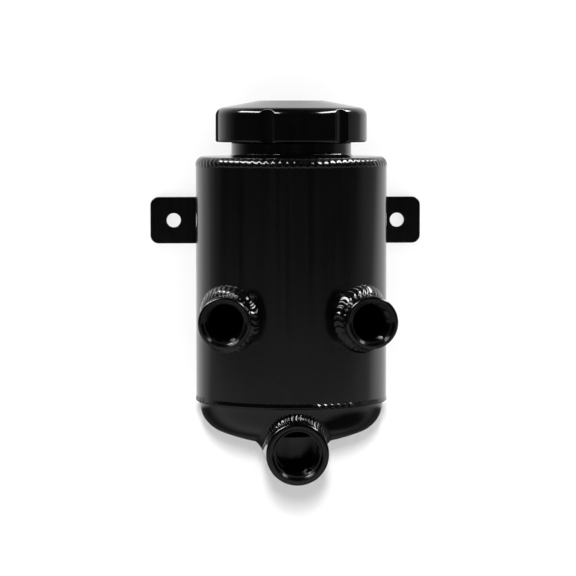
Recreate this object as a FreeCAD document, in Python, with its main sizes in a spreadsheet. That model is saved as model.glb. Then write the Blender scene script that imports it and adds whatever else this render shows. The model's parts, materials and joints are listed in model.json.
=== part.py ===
import FreeCAD, Part
import math
import os
import Sketcher
from FreeCAD import Placement, Rotation, Vector

# Welded aluminium hydraulic reservoir.
# Frame: the origin lies midway between the two mounting holes, on the rear face of the strap.
# +Z is up, the ports face -Y, and the tank axis stands in front of the strap.

DIMENSIONS = {
    # Tank shell
    "tank_radius": 44.45,
    "wall": 3.2,
    "plate_top": 31.5,
    "plate_thickness": 4.0,
    "plate_radius": 41.9,
    "plate_step": 1.5,
    "plate_step_gap": 0.1,
    "seam_height": -80.9,
    "seam_half_width": 1.35,
    "seam_depth": 2.3,
    "seam_crown": 2.4,
    "corner_crown": 3.4,
    "dish_radius": 43.0,
    "dish_knuckle": 15.0,
    "dish_crown": 90.0,
    "dish_skirt": 0.2,
    # Filler neck
    "neck_radius": 27.95,
    "neck_bore": 23.5,
    "neck_thread_radius": 27.0,
    "neck_thread_start": 38.0,
    "neck_top": 51.5,
    "neck_chamfer": 0.8,
    "neck_weld_leg": 1.2,
    "seat_radius": 25.0,
    "seat_height": 49.5,
    "groove_radius": 25.5,
    "groove_height": 0.9,
    # Strainer in the neck
    "strainer_radius": 22.8,
    "strainer_sheet": 0.8,
    "strainer_bottom": 6.0,
    "strainer_flange": 24.9,
    "slot_width": 2.4,
    "slot_bottom": 12.0,
    "slot_top": 26.0,
    "slot_count": 20,
    "ring_inner": 23.9,
    "ring_outer": 25.4,
    "ring_thickness": 0.8,
    "ring_gap_angle": 24.0,
    # Mounting strap
    "strap_width": 130.4,
    "strap_height": 22.4,
    "strap_thickness": 3.2,
    "strap_corner": 4.0,
    "ear_hole_spacing": 107.95,
    "ear_hole_radius": 3.4,
    "strap_weld_width": 26.0,
    "strap_weld_leg": 2.6,
    # Return ports
    "return_height": -42.1,
    "return_radius": 11.9,
    "return_bore": 8.7,
    "return_bore_length": 15.3,
    "return_throat": 8.0,
    "return_mouth": 9.9,
    "return_face_side": 33.3,
    "return_face_front": 53.6,
    "return_splay": 5.0,
    "return_length": 45.8,
    "return_weld": 3.0,
    # Outlet port
    "outlet_height": -101.9,
    "outlet_radius": 14.3,
    "outlet_bore": 10.2,
    "outlet_bore_length": 16.3,
    "outlet_throat": 9.2,
    "outlet_mouth": 11.3,
    "outlet_face_front": 48.8,
    "outlet_length": 38.0,
    "outlet_end_wall": 3.3,
    "outlet_end_round": 4.0,
    "outlet_weld": 3.0,
    "port_edge": 0.8,
    "port_mouth_depth": 1.3,
    # Baffle
    "baffle_height": -64.0,
    "baffle_thickness": 2.0,
    "baffle_radius": 41.1,
    "baffle_hole": 3.2,
    "baffle_outer_row": 31.0,
    "baffle_inner_row": 17.0,
    "baffle_outer_count": 12,
    "baffle_inner_count": 6,
    "tack_leg": 2.6,
    "tack_angle": 14.0,
    "tack_count": 4,
    # Cap
    "cap_radius": 35.25,
    "cap_bottom": 38.3,
    "cap_top": 57.55,
    "cap_flat": 15.0,
    "cap_edge_height": 53.7,
    "cap_edge_round": 3.9,
    "cap_lip_round": 0.9,
    "cap_bore": 28.2,
    "cap_bore_chamfer": 0.6,
    "cap_ceiling": 53.3,
    "cap_boss_radius": 10.0,
    "cap_boss_height": 3.0,
    "vent_groove_width": 1.6,
    "vent_groove_depth": 0.7,
    "scallop_radius": 5.8,
    "scallop_depth": 1.5,
    "scallop_count": 6,
    "scallop_azimuth": -22.2,
    # Gasket and vent valve
    "gasket_inner": 23.6,
    "gasket_outer": 27.3,
    "gasket_clearance": 0.15,
    "cage_radius": 8.0,
    "cage_fit": 0.02,
    "cage_bore": 6.8,
    "cage_bottom": 44.3,
    "cage_floor": 1.2,
    "cage_inlet": 2.5,
    "disc_radius": 6.2,
    "disc_thickness": 1.2,
    "disc_clearance": 0.3,
    "disc_hub_radius": 2.6,
    "disc_hub_height": 1.2,
    "spring_radius": 4.2,
    "spring_wire": 0.35,
    "spring_turns": 5,
    "spring_end_gap": 0.1,
}


class Size:
    """A number together with the spreadsheet expression that it comes from."""

    def __init__(self, value, text):
        self.value = float(value)
        self.text = text

    def __add__(self, other):
        other = as_size(other)
        return Size(self.value + other.value, f"({self.text} + {other.text})")

    def __sub__(self, other):
        other = as_size(other)
        return Size(self.value - other.value, f"({self.text} - {other.text})")

    def __mul__(self, other):
        other = as_size(other)
        return Size(self.value * other.value, f"({self.text} * {other.text})")

    def __truediv__(self, other):
        other = as_size(other)
        return Size(self.value / other.value, f"({self.text} / {other.text})")

    def __neg__(self):
        return Size(-self.value, f"(0 - {self.text})")

    def root(self):
        return Size(math.sqrt(self.value), f"sqrt({self.text})")


def as_size(number):
    if isinstance(number, Size):
        return number
    return Size(number, repr(float(number)))


def make_sheet(doc):
    """Put each driving dimension in a cell with an alias, and return them as sizes."""
    sheet = doc.addObject("Spreadsheet::Sheet", "Dimensions")
    sizes = {}
    for row, (alias, value) in enumerate(DIMENSIONS.items(), start=1):
        sheet.set(f"A{row}", alias)
        sheet.set(f"B{row}", str(value))
        sheet.setAlias(f"B{row}", alias)
        sizes[alias] = Size(value, f"Dimensions.{alias}")
    doc.recompute()
    return sizes


doc = FreeCAD.newDocument("HydraulicReservoir")
SIZES = make_sheet(doc)
ORIGIN = as_size(0)


def dim(alias):
    return SIZES[alias]


def place_at(item, side=None, front=None, height=None, turn=None):
    """Bind an object's position, and its turn about Z in degrees, to the sheet."""
    for axis, size in (("x", side), ("y", front), ("z", height)):
        if size is not None:
            item.setExpression(f"Placement.Base.{axis}", size.text)
    if turn is not None:
        item.setExpression("Placement.Rotation.Angle", turn.text)


TANK_Y = -(dim("tank_radius") + dim("strap_thickness"))


# ---------------------------------------------------------------- sketch helpers

def new_body(label):
    body = doc.addObject("PartDesign::Body", label)
    body.Label = label
    return body


def sketch_on(body, role, name):
    """A sketch on one of the body's own origin planes."""
    plane = next(item for item in body.Origin.OriginFeatures if item.Role == role)
    sketch = body.newObject("Sketcher::SketchObject", name)
    sketch.AttachmentSupport = [(plane, "")]
    sketch.MapMode = "FlatFace"
    return sketch


def bind(sketch, constraint, size):
    index = sketch.addConstraint(constraint)
    sketch.setExpression(f"Constraints[{index}]", size.text)


def arc_between(start, end, radius):
    """The short arc from start to end. A positive radius bulges to the right of the way."""
    chord = end - start
    half = chord.Length / 2
    right = Vector(chord.y, -chord.x, 0).normalize()
    sagitta = abs(radius) - math.sqrt(radius * radius - half * half)
    middle = (start + end) * 0.5 + right * math.copysign(sagitta, radius)
    return Part.Arc(start, middle, end)


def draw_outline(sketch, outline):
    """Draw a closed outline of (across, up) points.

    A third entry is the radius of the arc that leads on to the next point.
    """
    points = [Vector(entry[0].value, entry[1].value, 0) for entry in outline]
    count = len(points)
    ends = []
    for number, entry in enumerate(outline):
        start = points[number]
        end = points[(number + 1) % count]
        if len(entry) == 2:
            sketch.addGeometry(Part.LineSegment(start, end), False)
            ends.append((1, 2))
            continue
        sketch.addGeometry(arc_between(start, end, entry[2].value), False)
        first = sketch.getPoint(number, 1)
        ends.append((1, 2) if (first - start).Length < 1e-6 else (2, 1))
    for number in range(count):
        follower = (number + 1) % count
        sketch.addConstraint(
            Sketcher.Constraint("Coincident", number, ends[number][1], follower, ends[follower][0]))
    for number, entry in enumerate(outline):
        point = ends[number][0]
        bind(sketch, Sketcher.Constraint("DistanceX", number, point, entry[0].value), entry[0])
        bind(sketch, Sketcher.Constraint("DistanceY", number, point, entry[1].value), entry[1])
        if len(entry) == 3:
            size = entry[2] if entry[2].value > 0 else -entry[2]
            bind(sketch, Sketcher.Constraint("Radius", number, size.value), size)


def draw_circle(sketch, across, up, radius):
    centre = Vector(across.value, up.value, 0)
    index = sketch.addGeometry(Part.Circle(centre, Vector(0, 0, 1), radius.value), False)
    bind(sketch, Sketcher.Constraint("DistanceX", index, 3, across.value), across)
    bind(sketch, Sketcher.Constraint("DistanceY", index, 3, up.value), up)
    bind(sketch, Sketcher.Constraint("Radius", index, radius.value), radius)


def draw_rectangle(sketch, left, right, bottom, top):
    draw_outline(sketch, [(left, bottom), (right, bottom), (right, top), (left, top)])


# ---------------------------------------------------------------- feature helpers

def turned_body(label, outline, angle=360):
    """A body turned about Z from an outline of (radius, height) points."""
    body = new_body(label)
    sketch = sketch_on(body, "XZ_Plane", f"{label}_profile")
    draw_outline(sketch, outline)
    turning = body.newObject("PartDesign::Revolution", f"{label}_turning")
    turning.Profile = sketch
    turning.ReferenceAxis = (sketch, ["V_Axis"])
    turning.Angle = angle
    turning.Midplane = angle < 360
    doc.recompute()
    return body


def padded_body(label, role, draw, length):
    """A body padded to one side of an origin plane, from the sketch that draw makes."""
    body = new_body(label)
    sketch = sketch_on(body, role, f"{label}_outline")
    draw(sketch)
    pad = body.newObject("PartDesign::Pad", f"{label}_pad")
    pad.Profile = sketch
    pad.setExpression("Length", length.text)
    doc.recompute()
    return body


def add_pocket(body, role, name, draw, reversed_way):
    """Cut a sketch through all of the body, and make sure that it cuts something."""
    before = body.Shape.Volume
    sketch = sketch_on(body, role, f"{name}_outline")
    draw(sketch)
    pocket = body.newObject("PartDesign::Pocket", name)
    pocket.Profile = sketch
    pocket.Type = "ThroughAll"
    pocket.Reversed = reversed_way
    doc.recompute()
    if not body.Shape.Volume < before - 1e-3:
        raise RuntimeError(f"{name} cuts nothing")
    return pocket


def add_polar_pattern(body, feature, count):
    pattern = body.newObject("PartDesign::PolarPattern", f"{feature.Name}_pattern")
    pattern.Originals = [feature]
    axis = next(item for item in body.Origin.OriginFeatures if item.Role == "Z_Axis")
    pattern.Axis = (axis, [""])
    pattern.Angle = 360
    pattern.setExpression("Occurrences", count.text)
    body.Tip = pattern
    doc.recompute()


def edges_where(shape, test):
    return [f"Edge{number}" for number, edge in enumerate(shape.Edges, start=1) if test(edge)]


def circle_edges(shape, radius, height):
    """Names of the full circles about Z with this radius at this height."""
    def is_wanted(edge):
        curve = edge.Curve
        if not isinstance(curve, Part.Circle):
            return False
        same_size = abs(curve.Radius - radius.value) < 0.01
        return same_size and abs(curve.Center.z - height.value) < 0.01
    return edges_where(shape, is_wanted)


def round_edges(body, name, edges, radius):
    base = body.Tip
    fillet = body.newObject("PartDesign::Fillet", name)
    fillet.Base = (base, edges)
    fillet.setExpression("Radius", radius.text)
    body.Tip = fillet
    doc.recompute()


def rod(name, radius, length, placement):
    item = doc.addObject("Part::Cylinder", name)
    item.setExpression("Radius", radius.text)
    item.setExpression("Height", length.text)
    item.Placement = placement
    return item


def combine(kind, label, base, tool):
    """Join two objects by a Part::Cut, Part::Fuse or Part::Common."""
    item = doc.addObject(kind, label)
    item.Label = label
    item.Base = base
    item.Tool = tool
    doc.recompute()
    return item


def cut(label, base, tool):
    return combine("Part::Cut", label, base, tool)


# ---------------------------------------------------------------- tank shell

def tank_item(item):
    place_at(item, front=TANK_Y)
    return item


PLATE_BOTTOM = dim("plate_top") - dim("plate_thickness")
SEAM_ROOT = dim("tank_radius") - dim("seam_depth")
SEAM_TOP = dim("seam_height") + dim("seam_half_width")
SEAM_BOTTOM = dim("seam_height") - dim("seam_half_width")


def make_tube_blank():
    """The tank tube, with the upper half of the seam's groove at its lower end."""
    inner = dim("tank_radius") - dim("wall")
    outline = [
        (inner, dim("seam_height")),
        (SEAM_ROOT, dim("seam_height")),
        (dim("tank_radius"), SEAM_TOP),
        (dim("tank_radius"), PLATE_BOTTOM),
        (inner, PLATE_BOTTOM),
    ]
    return tank_item(turned_body("tube_blank", outline))


def make_top_plate():
    """A disc on the tube's end, stepped to sit inside it, with a hole for the neck."""
    step_radius = dim("tank_radius") - dim("wall") - dim("plate_step_gap")
    step_bottom = PLATE_BOTTOM - dim("plate_step")
    outline = [
        (dim("neck_radius"), step_bottom),
        (step_radius, step_bottom),
        (step_radius, PLATE_BOTTOM),
        (dim("plate_radius"), PLATE_BOTTOM),
        (dim("plate_radius"), dim("plate_top")),
        (dim("neck_radius"), dim("plate_top")),
    ]
    return tank_item(turned_body("top_plate", outline))


def make_top_seam_weld():
    """The corner bead between the tube's end and the rim of the top plate."""
    outline = [
        (dim("plate_radius"), PLATE_BOTTOM),
        (dim("tank_radius"), PLATE_BOTTOM, dim("corner_crown")),
        (dim("plate_radius"), dim("plate_top")),
    ]
    return tank_item(turned_body("top_seam_weld", outline))


def make_bottom_seam_weld():
    outline = [
        (SEAM_ROOT, dim("seam_height")),
        (dim("dish_radius"), SEAM_BOTTOM, dim("seam_crown")),
        (dim("tank_radius"), SEAM_TOP),
    ]
    return tank_item(turned_body("bottom_seam_weld", outline))


def dish_solid(label, offset, top):
    """The solid inside the dish's outer surface moved out by offset, below the top points."""
    knuckle_radius = dim("dish_radius") - dim("dish_knuckle")
    knuckle_height = SEAM_BOTTOM - dim("dish_skirt")
    reach = dim("dish_crown") - dim("dish_knuckle")
    rise = (reach * reach - knuckle_radius * knuckle_radius).root()
    knuckle = dim("dish_knuckle") + offset
    crown = dim("dish_crown") + offset
    outline = [
        (ORIGIN, knuckle_height + rise - crown, crown),
        (knuckle_radius + knuckle * knuckle_radius / reach,
         knuckle_height - knuckle * rise / reach, knuckle),
        (dim("dish_radius") + offset, knuckle_height),
    ]
    outline += top
    return tank_item(turned_body(label, outline))


def make_dish_outer():
    """The outside of the dish as a solid, with the lower half of the seam's groove."""
    top = [
        (dim("dish_radius"), SEAM_BOTTOM),
        (SEAM_ROOT, dim("seam_height")),
        (ORIGIN, dim("seam_height")),
    ]
    return dish_solid("dish_outer", ORIGIN, top)


def make_dish_cavity():
    inner = dim("tank_radius") - dim("wall")
    above = SEAM_TOP
    top = [
        (inner, dim("seam_height")),
        (inner, above),
        (ORIGIN, above),
    ]
    return dish_solid("dish_cavity", -dim("wall"), top)


# ---------------------------------------------------------------- filler neck

def make_filler_neck():
    """The neck: plain at its foot, threaded above, with a seat and groove in its mouth."""
    groove_top = dim("seat_height") + dim("strainer_sheet") + dim("groove_height")
    groove_bottom = dim("seat_height") + dim("strainer_sheet")
    lead_in = dim("neck_thread_radius") - dim("neck_chamfer")
    outline = [
        (dim("neck_bore"), PLATE_BOTTOM - dim("plate_step")),
        (dim("neck_radius"), PLATE_BOTTOM - dim("plate_step")),
        (dim("neck_radius"), dim("neck_thread_start")),
        (dim("neck_thread_radius"), dim("neck_thread_start")),
        (dim("neck_thread_radius"), dim("neck_top") - dim("neck_chamfer")),
        (lead_in, dim("neck_top")),
        (dim("seat_radius"), dim("neck_top")),
        (dim("seat_radius"), groove_top),
        (dim("groove_radius"), groove_top),
        (dim("groove_radius"), groove_bottom),
        (dim("seat_radius"), groove_bottom),
        (dim("seat_radius"), dim("seat_height")),
        (dim("neck_bore"), dim("seat_height")),
    ]
    return tank_item(turned_body("filler_neck", outline))


def make_neck_weld():
    leg = dim("neck_weld_leg")
    outline = [
        (dim("neck_radius"), dim("plate_top")),
        (dim("neck_radius") + leg, dim("plate_top")),
        (dim("neck_radius"), dim("plate_top") + leg),
    ]
    return tank_item(turned_body("neck_weld", outline))


def make_neck_strainer():
    """A flanged cup of thin sheet that hangs in the neck, slotted around its lower part."""
    inner = dim("strainer_radius") - dim("strainer_sheet")
    flange_top = dim("seat_height") + dim("strainer_sheet")
    outline = [
        (ORIGIN, dim("strainer_bottom")),
        (dim("strainer_radius"), dim("strainer_bottom")),
        (dim("strainer_radius"), dim("seat_height")),
        (dim("strainer_flange"), dim("seat_height")),
        (dim("strainer_flange"), flange_top),
        (inner, flange_top),
        (inner, dim("strainer_bottom") + dim("strainer_sheet")),
        (ORIGIN, dim("strainer_bottom") + dim("strainer_sheet")),
    ]
    body = tank_item(turned_body("neck_strainer", outline))

    def draw_slot(sketch):
        half = dim("slot_width") / 2
        draw_rectangle(sketch, -half, half, dim("slot_bottom"), dim("slot_top"))

    slot = add_pocket(body, "XZ_Plane", "strainer_slot", draw_slot, False)
    add_polar_pattern(body, slot, dim("slot_count"))
    return body


def make_strainer_ring():
    """An open snap ring in the neck's groove, above the strainer's flange."""
    bottom = dim("seat_height") + dim("strainer_sheet")
    top = bottom + dim("ring_thickness")
    outline = [
        (dim("ring_inner"), bottom),
        (dim("ring_outer"), bottom),
        (dim("ring_outer"), top),
        (dim("ring_inner"), top),
    ]
    sweep = 360 - DIMENSIONS["ring_gap_angle"]
    return tank_item(turned_body("strainer_ring", outline, sweep))


# ---------------------------------------------------------------- mounting strap

def make_mounting_strap():
    """A flat strap behind the tank, with one hole in each ear."""
    half = dim("strap_width") / 2
    rise = dim("strap_height") / 2

    def draw_strap(sketch):
        draw_rectangle(sketch, -half, half, -rise, rise)

    body = padded_body("mounting_strap", "XZ_Plane", draw_strap, dim("strap_thickness"))

    def is_corner(edge):
        middle = edge.CenterOfMass
        along_y = abs(edge.BoundBox.YLength - DIMENSIONS["strap_thickness"]) < 0.01
        return along_y and abs(abs(middle.x) - half.value) < 0.01

    round_edges(body, "strap_corners", edges_where(body.Shape, is_corner), dim("strap_corner"))

    def draw_holes(sketch):
        reach = dim("ear_hole_spacing") / 2
        draw_circle(sketch, reach, ORIGIN, dim("ear_hole_radius"))
        draw_circle(sketch, -reach, ORIGIN, dim("ear_hole_radius"))

    add_pocket(body, "XZ_Plane", "ear_holes", draw_holes, True)
    return body


def make_strap_welds(tank_rod):
    """Short fillet beads along the strap's upper and lower edges, against the tank."""
    beads = []
    leg = dim("strap_weld_leg")
    rear = -(dim("strap_thickness") - leg)
    front = -(dim("strap_thickness") + leg)
    edge = dim("strap_height") / 2
    for name, sign in (("upper", 1), ("lower", -1)):
        body = new_body(f"strap_bead_{name}")
        sketch = sketch_on(body, "YZ_Plane", f"strap_bead_{name}_profile")
        draw_outline(sketch, [
            (front, edge * sign),
            (rear, edge * sign),
            (-dim("strap_thickness"), (edge + leg) * sign),
            (front, (edge + leg) * sign),
        ])
        pad = body.newObject("PartDesign::Pad", f"strap_bead_{name}_pad")
        pad.Profile = sketch
        pad.Midplane = True
        pad.setExpression("Length", dim("strap_weld_width").text)
        doc.recompute()
        beads.append(body)
    pair = combine("Part::Fuse", "strap_bead_pair", beads[0], beads[1])
    return cut("strap_welds", pair, tank_rod)


# ---------------------------------------------------------------- ports

def port_body(name, kind, length, end_wall=None):
    """A round weld port along its own Z, with its face at the origin and its body below.

    The mouth is countersunk for a sealing ring. The threaded bore steps down to a throat,
    which goes right through, or stops short of the rear end by a wall.
    """
    radius = dim(f"{kind}_radius")
    bore = dim(f"{kind}_bore")
    throat = dim(f"{kind}_throat")
    step = -dim(f"{kind}_bore_length")
    outline = [
        (throat, step),
        (bore, step),
        (bore, -dim("port_mouth_depth")),
        (dim(f"{kind}_mouth"), ORIGIN),
        (radius - dim("port_edge"), ORIGIN, -dim("port_edge")),
        (radius, -dim("port_edge")),
        (radius, -length),
    ]
    if end_wall is None:
        outline += [(throat, -length)]
    else:
        outline += [(ORIGIN, -length), (ORIGIN, end_wall - length), (throat, end_wall - length)]
    return turned_body(name, outline)


def facing(direction, point):
    """A placement that turns local Z to a direction, at a point."""
    return Placement(point, Rotation(Vector(0, 0, 1), direction))


def return_placement(side, back=0.0):
    """The face of one return port, or a point that far behind it along its axis."""
    splay = math.radians(DIMENSIONS["return_splay"])
    direction = Vector(side * math.sin(splay), -math.cos(splay), 0)
    face = Vector(
        side * DIMENSIONS["return_face_side"],
        TANK_Y.value - DIMENSIONS["return_face_front"],
        DIMENSIONS["return_height"],
    )
    return facing(direction, face - direction * back)


def make_return_port(name, side, tank_rod):
    """One return port, coped to the tank's wall."""
    blank = port_body(f"{name}_blank", "return", dim("return_length"))
    blank.Placement = return_placement(side)
    return cut(name, blank, tank_rod)


def make_return_weld(name, side, tank_rod, tank_band):
    """The bead around a return port: what lies near both the port and the tank's wall."""
    start = return_placement(side, DIMENSIONS["return_length"])
    outer = rod(f"{name}_outer", dim("return_radius") + dim("return_weld"),
                dim("return_length"), start)
    inner = rod(f"{name}_inner", dim("return_radius"), dim("return_length"), start)
    near = combine("Part::Common", f"{name}_near", outer, tank_band)
    outside = cut(f"{name}_outside", near, tank_rod)
    return cut(name, outside, inner)


def outlet_placement(back=0.0):
    face = Vector(
        0,
        TANK_Y.value - DIMENSIONS["outlet_face_front"] + back,
        DIMENSIONS["outlet_height"],
    )
    return facing(Vector(0, -1, 0), face)


def make_outlet_bar():
    """The outlet's outside as a plain bar with a rounded rear end."""
    outline = [
        (ORIGIN, ORIGIN),
        (ORIGIN, -dim("outlet_length")),
        (dim("outlet_radius") - dim("outlet_end_round"), -dim("outlet_length"),
         dim("outlet_end_round")),
        (dim("outlet_radius"), -(dim("outlet_length") - dim("outlet_end_round"))),
        (dim("outlet_radius"), ORIGIN),
    ]
    bar = turned_body("outlet_bar", outline)
    bar.Placement = outlet_placement()
    return bar


def make_outlet_port(dish_cavity, bar):
    """A blind port let into the dish, opened to the tank where it stands inside it."""
    blank = port_body("outlet_blank", "outlet", dim("outlet_length"), dim("outlet_end_wall"))
    blank.Placement = outlet_placement()
    rounded = combine("Part::Common", "outlet_rounded", blank, bar)
    return cut("outlet_port", rounded, dish_cavity)


def make_outlet_weld(dish_outer, bar):
    """The saddle bead between the outlet and the dish."""
    band = dish_solid("dish_band", dim("outlet_weld"), [
        (dim("dish_radius") + dim("outlet_weld"), SEAM_BOTTOM),
        (ORIGIN, SEAM_BOTTOM),
    ])
    length = dim("outlet_length")
    outer = rod("outlet_weld_outer", dim("outlet_radius") + dim("outlet_weld"),
                length, outlet_placement(DIMENSIONS["outlet_length"]))
    near = combine("Part::Common", "outlet_weld_near", outer, band)
    outside = cut("outlet_weld_outside", near, dish_outer)
    return cut("outlet_weld", outside, bar)


# ---------------------------------------------------------------- baffle

def make_baffle_plate():
    """A perforated disc across the tank, between the returns and the outlet."""
    def draw_disc(sketch):
        draw_circle(sketch, ORIGIN, ORIGIN, dim("baffle_radius"))

    body = padded_body("baffle_plate", "XY_Plane", draw_disc, dim("baffle_thickness"))
    place_at(body, front=TANK_Y, height=dim("baffle_height"))
    rows = (("outer", "baffle_outer_row", "baffle_outer_count"),
            ("inner", "baffle_inner_row", "baffle_inner_count"))
    for name, row, count in rows:
        def draw_hole(sketch):
            draw_circle(sketch, dim(row), ORIGIN, dim("baffle_hole"))
        hole = add_pocket(body, "XY_Plane", f"baffle_{name}_hole", draw_hole, True)
        add_polar_pattern(body, hole, dim(count))
    return body


def make_baffle_tacks():
    """Four short fillet beads that hold the baffle to the tank's wall."""
    wall = dim("tank_radius") - dim("wall")
    outline = [
        (wall - dim("tack_leg"), dim("baffle_height") + dim("baffle_thickness")),
        (wall, dim("baffle_height") + dim("baffle_thickness")),
        (wall, dim("baffle_height") + dim("baffle_thickness") + dim("tack_leg")),
    ]
    tacks = []
    spacing = 360 / DIMENSIONS["tack_count"]
    for number in range(DIMENSIONS["tack_count"]):
        tack = turned_body(f"tack_{number + 1}", outline, DIMENSIONS["tack_angle"])
        turn = Rotation(Vector(0, 0, 1), spacing * (number + 0.5))
        tack.Placement = Placement(Vector(0, TANK_Y.value, 0), turn)
        tacks.append(tack)
    group = doc.addObject("Part::MultiFuse", "baffle_tacks")
    group.Label = "baffle_tacks"
    group.Shapes = tacks
    doc.recompute()
    return group


# ---------------------------------------------------------------- cap

def make_cap_shell():
    """The screw cap: a shallow cone on top, six scallops around, a thread bore below."""
    boss_bottom = dim("cap_ceiling") - dim("cap_boss_height")
    boss_bore = dim("cage_radius") + dim("cage_fit")
    outline = [
        (ORIGIN, dim("cap_ceiling")),
        (boss_bore, dim("cap_ceiling")),
        (boss_bore, boss_bottom),
        (dim("cap_boss_radius"), boss_bottom),
        (dim("cap_boss_radius"), dim("cap_ceiling")),
        (dim("cap_bore"), dim("cap_ceiling")),
        (dim("cap_bore"), dim("cap_bottom") + dim("cap_bore_chamfer")),
        (dim("cap_bore") + dim("cap_bore_chamfer"), dim("cap_bottom")),
        (dim("cap_radius"), dim("cap_bottom")),
        (dim("cap_radius"), dim("cap_edge_height")),
        (dim("cap_flat"), dim("cap_top")),
        (ORIGIN, dim("cap_top")),
    ]
    body = turned_body("cap_shell", outline)
    rim = circle_edges(body.Shape, dim("cap_radius"), dim("cap_edge_height"))
    round_edges(body, "cap_rim_round", rim, dim("cap_edge_round"))
    lip = circle_edges(body.Shape, dim("cap_radius"), dim("cap_bottom"))
    round_edges(body, "cap_lip_round", lip, dim("cap_lip_round"))

    def draw_scallop(sketch):
        reach = dim("cap_radius") + dim("scallop_radius") - dim("scallop_depth")
        draw_circle(sketch, ORIGIN, -reach, dim("scallop_radius"))

    scallop = add_pocket(body, "XY_Plane", "cap_scallop", draw_scallop, True)
    add_polar_pattern(body, scallop, dim("scallop_count"))
    place_at(body, front=TANK_Y, turn=dim("scallop_azimuth"))
    return body


def make_vent_groove():
    """A shallow radial groove in the cap's ceiling that leads air out to the thread."""
    groove = doc.addObject("Part::Box", "vent_groove")
    groove.setExpression("Length", dim("cap_bore").text)
    groove.setExpression("Width", dim("vent_groove_width").text)
    groove.setExpression("Height", dim("vent_groove_depth").text)
    place_at(groove, front=TANK_Y - dim("vent_groove_width") / 2, height=dim("cap_ceiling"))
    return groove


def make_cap_gasket():
    """A flat ring between the neck's rim and the cap's ceiling."""
    bottom = dim("neck_top") + dim("gasket_clearance")
    top = dim("cap_ceiling") - dim("gasket_clearance")
    outline = [
        (dim("gasket_inner"), bottom),
        (dim("gasket_outer"), bottom),
        (dim("gasket_outer"), top),
        (dim("gasket_inner"), top),
    ]
    return tank_item(turned_body("cap_gasket", outline))


def make_vent_cage():
    """A cup pressed into the cap's boss, with an inlet hole in its floor."""
    floor_top = dim("cage_bottom") + dim("cage_floor")
    outline = [
        (dim("cage_inlet"), dim("cage_bottom")),
        (dim("cage_radius"), dim("cage_bottom")),
        (dim("cage_radius"), dim("cap_ceiling")),
        (dim("cage_bore"), dim("cap_ceiling")),
        (dim("cage_bore"), floor_top),
        (dim("cage_inlet"), floor_top),
    ]
    return tank_item(turned_body("vent_cage", outline))


DISC_BOTTOM = dim("cage_bottom") + dim("cage_floor") + dim("disc_clearance")
DISC_TOP = DISC_BOTTOM + dim("disc_thickness")


def make_vent_disc():
    """The valve disc, with a hub that centres the spring."""
    hub_top = DISC_TOP + dim("disc_hub_height")
    outline = [
        (ORIGIN, DISC_BOTTOM),
        (dim("disc_radius"), DISC_BOTTOM),
        (dim("disc_radius"), DISC_TOP),
        (dim("disc_hub_radius"), DISC_TOP),
        (dim("disc_hub_radius"), hub_top),
        (ORIGIN, hub_top),
    ]
    return tank_item(turned_body("vent_disc", outline))


def make_vent_spring():
    """A coil spring of round wire, from the valve disc up to the cap's ceiling."""
    radius = DIMENSIONS["spring_radius"]
    wire = DIMENSIONS["spring_wire"]
    end = wire + DIMENSIONS["spring_end_gap"]
    bottom = DISC_TOP.value + end
    top = DIMENSIONS["cap_ceiling"] - end
    rise = top - bottom
    coil = Part.makeHelix(rise / DIMENSIONS["spring_turns"], rise, radius)
    section = Part.Wire([Part.makeCircle(wire, Vector(radius, 0, 0), Vector(0, 1, 0))])
    spring = doc.addObject("Part::Feature", "vent_spring")
    spring.Shape = Part.Wire(coil.Edges).makePipeShell([section], True, True)
    spring.Placement = Placement(Vector(0, TANK_Y.value, bottom), Rotation())
    spring.Label = "vent_spring"
    return spring


# ---------------------------------------------------------------- assembly

def make_all():
    tall = dim("plate_top") - dim("seam_height")
    axis_foot = Placement(Vector(0, TANK_Y.value, DIMENSIONS["seam_height"]), Rotation())
    tank_rod = rod("tank_rod", dim("tank_radius"), tall, axis_foot)
    tank_band = rod("tank_band", dim("tank_radius") + dim("return_weld"), tall, axis_foot)

    nodes = []
    tube = make_tube_blank()
    for side_name, side in (("left", -1), ("right", 1)):
        drill = rod(f"return_drill_{side_name}", dim("return_throat"), dim("return_length"),
                    return_placement(side, DIMENSIONS["return_length"]))
        label = "tank_tube" if side_name == "right" else "tube_drilled"
        tube = cut(label, tube, drill)
    nodes.append(tube)

    dish_outer = make_dish_outer()
    dish_cavity = make_dish_cavity()
    outlet_bar = make_outlet_bar()
    dish_shell = cut("dish_shell", dish_outer, dish_cavity)
    nodes.append(cut("bottom_dish", dish_shell, outlet_bar))
    nodes.append(make_outlet_port(dish_cavity, outlet_bar))
    nodes.append(make_outlet_weld(dish_outer, outlet_bar))

    nodes.append(make_top_plate())
    nodes.append(make_top_seam_weld())
    nodes.append(make_bottom_seam_weld())
    nodes.append(make_filler_neck())
    nodes.append(make_neck_weld())
    nodes.append(make_neck_strainer())
    nodes.append(make_strainer_ring())
    nodes.append(make_mounting_strap())
    nodes.append(make_strap_welds(tank_rod))
    for side_name, side in (("left", -1), ("right", 1)):
        nodes.append(make_return_port(f"return_port_{side_name}", side, tank_rod))
        nodes.append(make_return_weld(f"return_weld_{side_name}", side, tank_rod, tank_band))
    nodes.append(make_baffle_plate())
    nodes.append(make_baffle_tacks())

    cap_blank = make_cap_shell()
    cap_blank.Label = "cap_blank"
    nodes.append(cut("cap_shell", cap_blank, make_vent_groove()))
    nodes.append(make_cap_gasket())
    nodes.append(make_vent_cage())
    nodes.append(make_vent_disc())
    nodes.append(make_vent_spring())
    return nodes


def check(nodes):
    """Stop if any object failed, or if any sub-part has no valid solid."""
    for item in doc.Objects:
        if "Invalid" in item.State or "Error" in item.State:
            raise RuntimeError(f"{item.Label} failed: {item.State}")
    for node in nodes:
        shape = node.Shape
        if shape.isNull() or not shape.isValid() or not shape.Solids:
            raise RuntimeError(f"{node.Label} has no valid solid")


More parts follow.
